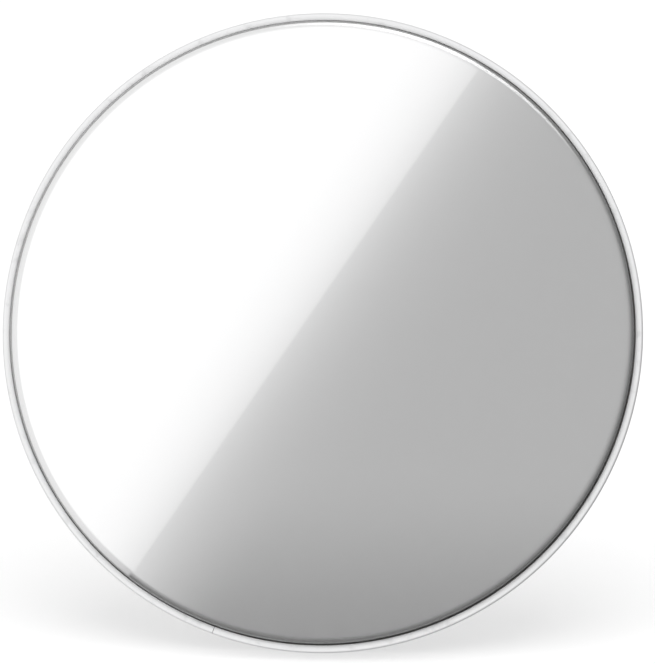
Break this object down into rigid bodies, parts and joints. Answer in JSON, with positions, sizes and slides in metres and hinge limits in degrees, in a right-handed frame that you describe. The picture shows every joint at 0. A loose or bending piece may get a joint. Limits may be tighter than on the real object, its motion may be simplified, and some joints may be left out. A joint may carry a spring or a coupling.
{
  "type": "drum head",
  "caption": "Clear two-ply drum head: nested polyester films with a drawn collar, their slotted edge cast in resin in a rolled aluminium hoop.",
  "frame": {"origin": "middle of the plane that the hoop rests on when the head lies flat with its playing surface up", "axes": "+Z along the head's axis, from the open side towards the playing surface; +Y is up in the picture's standing view, +X to its right"},
  "size_m": [0.3714, 0.3714, 0.02],
  "materials": {
    "clear_film": "clear glossy polyester film",
    "hoop_aluminium": "satin rolled aluminium with fine lines along the ring",
    "cast_resin": "dark grey cast resin"
  },
  "bodies": {
    "root": {"top_ply": "clear_film", "bottom_ply": "clear_film", "hoop_channel": "hoop_aluminium", "resin_fill": "cast_resin", "seam_strip": "hoop_aluminium"}
  },
  "joints": []
}
